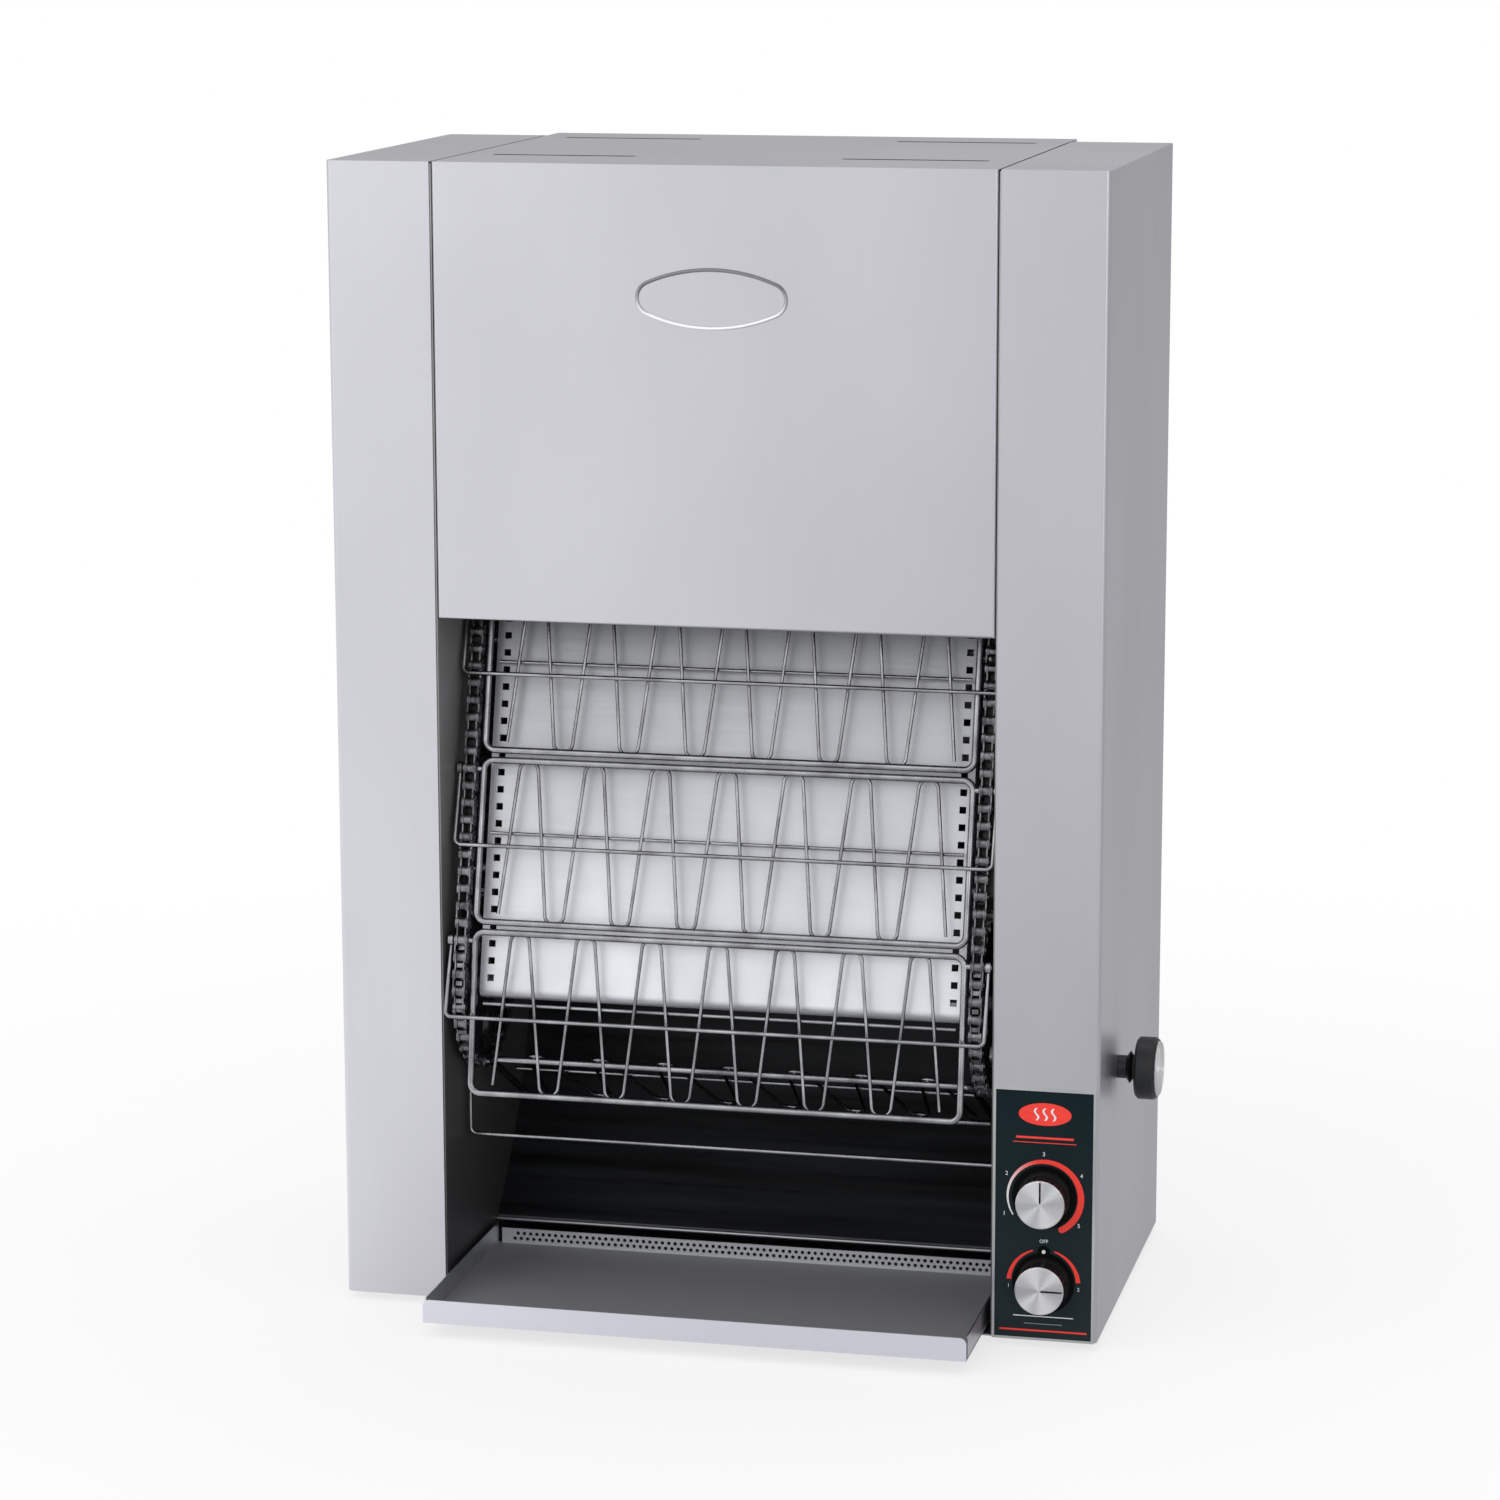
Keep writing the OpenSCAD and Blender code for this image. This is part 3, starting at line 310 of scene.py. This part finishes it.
def outward(mesh):
    """Turns the faces outward and leaves the points in their order."""
    work = bmesh.new()
    work.from_mesh(mesh)
    bmesh.ops.recalc_face_normals(work, faces=work.faces)
    work.to_mesh(mesh)
    work.free()


# Print on the control panel, drawn in millimetres from a dial's axis, X right and Z up

def ink(name, dark, light, gloss=0.3):
    # Screen ink: solid colour with a very slight mottle and the film's matt tooth
    return finish(name, dark, light, (2.5, 2.5, 2.5), (0.5, 0.5, 0.5), (0.36, 0.46), 0.002,
                  **{"Specular IOR Level": gloss})


def fading_ink():
    # Screen ink of the speed scale: its band runs from white at its thin end to full red
    material = ink("fading_screen_ink", "#e4e2df", "#eceae7")
    tree = material.node_tree
    surface = tree.nodes["surface"].inputs["Base Color"]
    along = add(tree, "ShaderNodeSeparateXYZ", {
        "Vector": add(tree, "ShaderNodeUVMap", uv_map="along").outputs["UV"]})
    share = add(tree, "ShaderNodeMapRange", {
        "Value": along.outputs["X"], "From Min": 0.12, "From Max": 0.42}, interpolation_type="SMOOTHSTEP")
    faded = add(tree, "ShaderNodeMix", {
        "Factor": share.outputs["Result"], COLOUR_A: surface.links[0].from_socket,
        COLOUR_B: linear("#f23c30")}, data_type="RGBA")
    tree.links.new(faded.outputs[COLOUR_OUT], surface)
    return material


PANEL_FACE = PANEL[0].y
COAT = 0.12
white_ink = ink("white_screen_ink", "#d8dadb", "#e6e7e8")
grey_ink = ink("grey_screen_ink", "#7d8486", "#8d9496")
red_ink = ink("red_screen_ink", "#ea3a2e", "#f64236")
black_ink = ink("black_screen_ink", "#020303", "#060707", 0.08)
scale_ink = fading_ink()
speed_axis = middle("speed_knob_cap")
mode_axis = middle("mode_knob_cap")


def band(name, axis, left, right, material, base=0.0, lift=COAT, body="frame"):
    """A strip of ink between two edges, each a row of points, raised by lift over base."""
    count = len(left)
    points = [(axis.x + x * MM, PANEL_FACE - height * MM, axis.z + z * MM)
              for height in (base, base + lift) for edge in (left, right) for x, z in edge]
    back_l, back_r, front_l, front_r = (i * count for i in range(4))
    faces = []
    for i in range(count - 1):
        faces.append((front_l + i, front_l + i + 1, front_r + i + 1, front_r + i))
        faces.append((back_l + i, back_r + i, back_r + i + 1, back_l + i + 1))
        faces.append((back_l + i, back_l + i + 1, front_l + i + 1, front_l + i))
        faces.append((back_r + i, front_r + i, front_r + i + 1, back_r + i + 1))
    for i in (0, count - 1):
        faces.append((back_l + i, front_l + i, front_r + i, back_r + i))
    mesh = bpy.data.meshes.new(name)
    mesh.from_pydata(points, [], faces)
    mesh.materials.append(material)
    outward(mesh)
    along = mesh.uv_layers.new(name="along")
    for loop in mesh.loops:
        along.data[loop.index].uv = ((loop.vertex_index % count) / (count - 1), 0.5)
    return settle(bpy.data.objects.new(name, mesh), body)


def on_circle(radius, degrees):
    angle = math.radians(degrees)
    return radius * math.cos(angle), radius * math.sin(angle)


def arc(name, axis, radius, start, end, width, material, steps=64):
    """A band along a circle; width gives its breadth at a fraction of the way."""
    left, right = [], []
    for i in range(steps + 1):
        half = width(i / steps) / 2
        for edge, r in ((left, radius - half), (right, radius + half)):
            edge.append(on_circle(r, start + (end - start) * i / steps))
    return band(name, axis, left, right, material)


def rule(name, axis, z, half_length, height, material):
    low, high = z - height / 2, z + height / 2
    return band(name, axis, [(-half_length, low), (half_length, low)],
                [(-half_length, high), (half_length, high)], material)


def oval(name, axis, x, z, half_width, half_height, material, base=0.0, steps=32):
    upper = [(x + half_width * math.cos(math.pi * i / steps), z + half_height * math.sin(math.pi * i / steps))
             for i in range(steps + 1)]
    return band(name, axis, [(px, 2 * z - pz) for px, pz in upper], upper, material, base)


def lettering(name, axis, text, x, z, height, material):
    """Printed figures, made a mesh and laid on the panel."""
    curve = bpy.data.curves.new(name, "FONT")
    curve.body = text
    curve.size = height * MM / 0.7
    curve.align_x = "CENTER"
    curve.align_y = "CENTER"
    curve.extrude = COAT * MM / 2
    curve.resolution_u = 4
    mesh = made_mesh(bpy.data.objects.new(name + "_outline", curve), name)
    place = Matrix.Translation((axis.x + x * MM, PANEL_FACE - COAT * MM / 2, axis.z + z * MM))
    mesh.transform(place @ Matrix.Rotation(math.pi / 2, 4, "X"))
    outward(mesh)
    mesh.materials.clear()
    mesh.materials.append(material)
    return settle(bpy.data.objects.new(name, mesh), "frame")


# Speed scale: a band that swells and reddens from slow to fast, with plain figures outside it
SPEED_RADIUS, SPEED_START, SPEED_END = 26.8, 212, -61
SPEED_FIGURE_RADIUS = 32.2
arc("speed_scale", speed_axis, SPEED_RADIUS, SPEED_START, SPEED_END,
    lambda t: 0.9 + 3.8 * min(1.0, t * 1.3), scale_ink)
oval("speed_scale_end", speed_axis, *on_circle(SPEED_RADIUS, SPEED_END), 2.35, 2.35, red_ink, 0.03)
oval("speed_ground", speed_axis, 0, 0, 23.6, 23.6, black_ink)
for figure, angle in (("1", 205), ("2", 149), ("3", 91), ("4", 33), ("5", -38)):
    lettering("speed_figure_" + figure, speed_axis, figure, *on_circle(SPEED_FIGURE_RADIUS, angle), 3.0,
              white_ink)

# Mode scale: two bands either side of a plain OFF mark
MODE_RADIUS, MARK_Z = 25.4, 23.6
for side, start, end in (("left", 176, 108), ("right", 4, 72)):
    arc("mode_band_" + side, mode_axis, MODE_RADIUS, start, end, lambda t: 3.4 - 2.3 * t, red_ink)
oval("mode_ground", mode_axis, 0, 0, 22.8, 22.8, black_ink)
oval("mode_mark_ground", mode_axis, 0, MARK_Z, 4.6, 4.6, black_ink, COAT)
oval("mode_mark_dot", mode_axis, 0, MARK_Z, 1.4, 1.4, white_ink, 2 * COAT)
for figure, x, z in (("OFF", 0, 31.4), ("1", -25.6, -3.4), ("2", 25.6, -3.4)):
    lettering("mode_figure_" + figure.lower(), mode_axis, figure, x, z, 2.6, white_ink)

# Plain rules above and below the dials
rule("lower_white_rule", mode_axis, -25.4, 22, 0.7, white_ink)
rule("lower_grey_rule", mode_axis, -31.0, 14, 0.5, grey_ink)
rule("lower_red_rule", mode_axis, -36.2, 32, 1.3, red_ink)
rule("upper_red_rule", speed_axis, 44.4, 21, 1.6, red_ink)
rule("upper_thin_rule", speed_axis, 40.8, 23, 0.6, red_ink)

# A red plaque with three rising waves, the common sign for heat
WAVE_FOOT, WAVE_HEIGHT, WAVE_SWING, WAVE_STEP, WAVE_HALF = 57.4, 9.2, 1.3, 6.2, 0.75
WAVE_POINTS = 12
oval("heat_plaque", speed_axis, 0, 62.0, 19.2, 8.4, red_ink)
for i in range(3):
    path = [(WAVE_SWING * math.sin(2 * math.pi * t / WAVE_POINTS) + (i - 1) * WAVE_STEP,
             WAVE_FOOT + WAVE_HEIGHT * t / WAVE_POINTS) for t in range(WAVE_POINTS + 1)]
    band("heat_wave_%d" % (i + 1), speed_axis, [(x - WAVE_HALF, z) for x, z in path],
         [(x + WAVE_HALF, z) for x, z in path], white_ink, COAT)

# Black paint in the groove of each cap, which is the dial's pointer
CAP_FACE = (PANEL_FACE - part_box("speed_knob_cap")[0].y) / MM
GROOVE_DEPTH, PAINT = 0.68, 0.5
POINTER_REACH, POINTER_SIDES = (1.2, 16.6), (-0.55, 0.55)
for dial, axis, across, along in (("speed", speed_axis, (1, 0), (0, 1)), ("mode", mode_axis, (0, 1), (1, 0))):
    edges = [[(side * across[0] + reach * along[0], side * across[1] + reach * along[1])
              for reach in POINTER_REACH] for side in POINTER_SIDES]
    band(dial + "_pointer", axis, edges[0], edges[1], black_ink, CAP_FACE - GROOVE_DEPTH, PAINT,
         dial + "_dial")


# Weld beads where the zigzag wire lies on each basket's rim

def bead_tree(material):
    tree = bpy.data.node_groups.new("weld_beads", "GeometryNodeTree")
    tree.interface.new_socket("Geometry", in_out="INPUT", socket_type="NodeSocketGeometry")
    size = tree.interface.new_socket("Bead radius", in_out="INPUT", socket_type="NodeSocketFloat")
    tree.interface.new_socket("Geometry", in_out="OUTPUT", socket_type="NodeSocketGeometry")
    given = add(tree, "NodeGroupInput")
    bead = add(tree, "GeometryNodeMeshUVSphere", {
        "Segments": 8, "Rings": 5, "Radius": given.outputs["Bead radius"]})
    turn = add(tree, "FunctionNodeRandomValue", {"Seed": 7}, data_type="FLOAT_VECTOR")
    spots = add(tree, "GeometryNodeMeshToPoints", {"Mesh": given.outputs["Geometry"]})
    placed = add(tree, "GeometryNodeInstanceOnPoints", {
        "Points": spots.outputs["Points"], "Instance": bead.outputs["Mesh"], "Rotation": turn.outputs["Value"]})
    real = add(tree, "GeometryNodeRealizeInstances", {"Geometry": placed.outputs["Instances"]})
    done = add(tree, "GeometryNodeSetMaterial", {"Geometry": real.outputs["Geometry"], "Material": material})
    add(tree, "NodeGroupOutput", {"Geometry": done.outputs["Geometry"]})
    return tree, size.identifier


# The chain's loop from the foot of its front run: up, over the top, down the back and round the bottom
COUPLINGS = {c["joint"]: c["ratio"] for c in frame["record"]["behaviour"]["couplings"]}
PITCH_RADIUS = COUPLINGS["front_travel"]
LOWER = Vector(JOINTS["conveyor_drive"]["pos_m"])
UPPER = Vector(JOINTS["upper_turn"]["pos_m"])
RUN = (UPPER - LOWER).length
LEAN = math.atan2(UPPER.y - LOWER.y, UPPER.z - LOWER.z)
CHAIN_PITCH = 12.7 * MM
TEETH = 32
LINK_TURN = math.radians(360 / TEETH)
RUN_LINKS = 34
TOP_LINK = RUN_LINKS
REAR_LINK = TOP_LINK + TEETH // 2
BOTTOM_LINK = REAR_LINK + RUN_LINKS
BAY_X = middle("lower_chains").x

# Baskets hang every ten links; two of them tilt on their pins
FIRST_LINK, BASKET_LINKS = 2, 10
TILT = {1: 5, 10: -15}
BASKETS = {"front_run": (1, 2, 3, 4), "upper_drive": (5,), "rear_run": (6, 7, 8, 9), "lower_drive": (10,)}


def turn_x(angle):
    return Matrix.Rotation(angle, 4, "X")


def basket_place(number):
    """The frame of a basket: its pins at the origin, hanging along -Z, outward -Y."""
    link = FIRST_LINK + BASKET_LINKS * (number - 1)
    out = Matrix.Translation((0, -PITCH_RADIUS, 0))
    if link < TOP_LINK:
        local = Matrix.Translation((0, -PITCH_RADIUS, link * CHAIN_PITCH))
    elif link < REAR_LINK:
        local = Matrix.Translation((0, 0, RUN)) @ turn_x(-(link - TOP_LINK) * LINK_TURN) @ out
    elif link < BOTTOM_LINK:
        local = Matrix.Translation((0, PITCH_RADIUS, RUN - (link - REAR_LINK) * CHAIN_PITCH)) @ turn_x(math.pi)
    else:
        local = turn_x(-math.pi - (link - BOTTOM_LINK) * LINK_TURN) @ out
    tilt = math.radians(TILT.get(number, 0))
    return Matrix.Translation((BAY_X, LOWER.y, LOWER.z)) @ turn_x(-LEAN) @ local @ turn_x(tilt)


# The zigzag wire touches the rim's top at each hairpin and its bottom between two, in millimetres from the pins
RIM_TOP, RIM_BOTTOM = 6.9, -112.6
HAIRPINS, HAIRPIN_STEP = 7, 50.0
FIRST_HAIRPIN = -(HAIRPINS - 1) / 2
WELD_Y, WELD_RADIUS = 2.45, 1.5
weld_spots = [((FIRST_HAIRPIN + i) * HAIRPIN_STEP, WELD_Y, RIM_TOP) for i in range(HAIRPINS)]
weld_spots += [((FIRST_HAIRPIN + i + 0.5) * HAIRPIN_STEP, WELD_Y, RIM_BOTTOM) for i in range(HAIRPINS - 1)]
beads, bead_size = bead_tree(wire)
for body, numbers in BASKETS.items():
    spots = bpy.data.meshes.new(body + "_weld_spots")
    spots.from_pydata([basket_place(n) @ (Vector(spot) * MM) for n in numbers for spot in weld_spots], [], [])
    source = bpy.data.objects.new(body + "_weld_spots", spots)
    maker = source.modifiers.new("weld_beads", "NODES")
    maker.node_group = beads
    maker[bead_size] = WELD_RADIUS * MM
    settle(bpy.data.objects.new(body + "_welds", made_mesh(source, body + "_welds")), body)


# Floor, light and camera

def by_ray(tree, lit, mirrored, seen):
    """One shader for the light on the object, one for what its steel mirrors, one for what is looked at."""
    path = add(tree, "ShaderNodeLightPath").outputs
    bent = add(tree, "ShaderNodeMath", {
        0: path["Is Glossy Ray"], 1: path["Is Transmission Ray"]}, operation="MAXIMUM").outputs["Value"]
    indirect = add(tree, "ShaderNodeMixShader", {0: bent, 1: lit, 2: mirrored}).outputs["Shader"]
    return add(tree, "ShaderNodeMixShader", {
        0: path["Is Camera Ray"], 1: indirect, 2: seen}).outputs["Shader"]


def paper_floor():
    # Matt white paper sweep: white to the eye, with the object's soft shadow near it. Mirrored in the steel it is
    # greyer to the right and farther off, as in a studio that is lit from the left.
    material = empty_material("white_paper_sweep")
    tree = material.node_tree
    place = add(tree, "ShaderNodeTexCoord").outputs["Object"]
    grain = add(tree, "ShaderNodeTexNoise", {"Vector": place, "Scale": 1 / (3 * MM), "Detail": 2.0})
    colour = add(tree, "ShaderNodeMix", {
        "Factor": grain.outputs["Fac"], COLOUR_A: linear("#f2f2f2"), COLOUR_B: linear("#f8f8f8")},
        data_type="RGBA")
    paper = add(tree, "ShaderNodeBsdfDiffuse", {"Color": colour.outputs[COLOUR_OUT]}).outputs["BSDF"]
    reach = add(tree, "ShaderNodeVectorMath", {0: place}, operation="LENGTH")
    far = add(tree, "ShaderNodeMapRange", {
        "Value": reach.outputs["Value"], "From Min": 0.4, "From Max": 1.5, "To Min": 0.72},
        interpolation_type="SMOOTHSTEP")
    white = add(tree, "ShaderNodeEmission", {"Color": linear("#ffffff")}).outputs["Emission"]
    seen = add(tree, "ShaderNodeMixShader", {0: far.outputs["Result"], 1: paper, 2: white}).outputs["Shader"]
    spot = add(tree, "ShaderNodeSeparateXYZ", {"Vector": place})
    right_side = add(tree, "ShaderNodeMapRange", {
        "Value": spot.outputs["X"], "From Min": -0.5, "From Max": 0.05, "To Min": 1.36, "To Max": 0.54},
        interpolation_type="SMOOTHSTEP")
    far_side = add(tree, "ShaderNodeMapRange", {
        "Value": spot.outputs["Y"], "From Min": -4.0, "From Max": -2.4, "To Min": 0.8})
    both = add(tree, "ShaderNodeMath", {
        0: right_side.outputs["Result"], 1: far_side.outputs["Result"]}, operation="MULTIPLY")
    dimmed = add(tree, "ShaderNodeEmission", {
        "Color": linear("#ffffff"), "Strength": both.outputs["Value"]}).outputs["Emission"]
    mirrored = add(tree, "ShaderNodeMixShader", {0: 0.85, 1: paper, 2: dimmed}).outputs["Shader"]
    add(tree, "ShaderNodeOutputMaterial", {"Surface": by_ray(tree, paper, mirrored, seen)})
    return material


HALF_FLOOR = 9.0
floor_mesh = bpy.data.meshes.new("paper_sweep")
floor_mesh.from_pydata([(x * HALF_FLOOR, y * HALF_FLOOR, 0) for x, y in ((-1, -1), (1, -1), (1, 1), (-1, 1))],
                       [], [(0, 1, 2, 3)])
floor_mesh.materials.append(paper_floor())
floor = bpy.data.objects.new("paper_sweep", floor_mesh)
scene.collection.objects.link(floor)

# White to the eye, softer as light, and in the steel a studio with a darker wall behind the object
world = bpy.data.worlds.new("white_studio")
world.use_nodes = True
sky = world.node_tree
sky.nodes.clear()
toward = add(sky, "ShaderNodeSeparateXYZ", {"Vector": add(sky, "ShaderNodeTexCoord").outputs["Generated"]})
back_wall = add(sky, "ShaderNodeMapRange", {
    "Value": toward.outputs["Y"], "From Min": -0.4, "From Max": 0.8, "To Min": 0.7, "To Max": 0.52})
soft = add(sky, "ShaderNodeBackground", {"Color": linear("#eef0f4"), "Strength": 0.84}).outputs["Background"]
mirrored = add(sky, "ShaderNodeBackground", {
    "Color": linear("#ffffff"), "Strength": back_wall.outputs["Result"]}).outputs["Background"]
white = add(sky, "ShaderNodeBackground", {"Color": linear("#ffffff"), "Strength": 1.0}).outputs["Background"]
add(sky, "ShaderNodeOutputWorld", {"Surface": by_ray(sky, soft, mirrored, white)})
scene.world = world

LIT_POINT = Vector((0, 0, 0.4))


def softbox(name, place, size, power, colour):
    lamp = bpy.data.lights.new(name, "AREA")
    lamp.shape = "RECTANGLE"
    lamp.size, lamp.size_y = size
    lamp.energy = power
    lamp.color = linear(colour)[:3]
    obj = bpy.data.objects.new(name, lamp)
    obj.location = place
    obj.rotation_euler = (LIT_POINT - Vector(place)).to_track_quat("-Z", "Y").to_euler()
    scene.collection.objects.link(obj)


softbox("key_softbox", (-1.9, -2.6, 2.3), (4.0, 4.0), 42, "#ffffff")
softbox("fill_softbox", (1.6, -3.0, 1.0), (1.6, 1.6), 12, "#fbfcff")
softbox("top_softbox", (0.2, 0.4, 2.8), (2.0, 2.0), 14, "#ffffff")

# The camera that was fitted to the photograph's edges
PHOTO_WIDTH = 1500
FOCAL_PIXELS = 4551.4
YAW, PITCH, ROLL = (math.radians(a) for a in (13.098, 11.195, 0.125))
EYE_PLACE = (0.73905, -3.2609, 1.0688)
camera = bpy.data.cameras.new("photo_camera")
camera.sensor_width = 36.0
camera.lens = camera.sensor_width * FOCAL_PIXELS / PHOTO_WIDTH
eye = bpy.data.objects.new("photo_camera", camera)
ahead = Vector((-math.sin(YAW) * math.cos(PITCH), math.cos(YAW) * math.cos(PITCH), -math.sin(PITCH)))
right = Vector((math.cos(YAW), math.sin(YAW), 0))
down = ahead.cross(right)
right_turned = right * math.cos(ROLL) + down * math.sin(ROLL)
up = right * math.sin(ROLL) - down * math.cos(ROLL)
turned = Matrix((right_turned, up, -ahead)).transposed().to_4x4()
eye.matrix_world = Matrix.Translation(EYE_PLACE) @ turned
scene.collection.objects.link(eye)
scene.camera = eye
scene.view_settings.view_transform = "Standard"
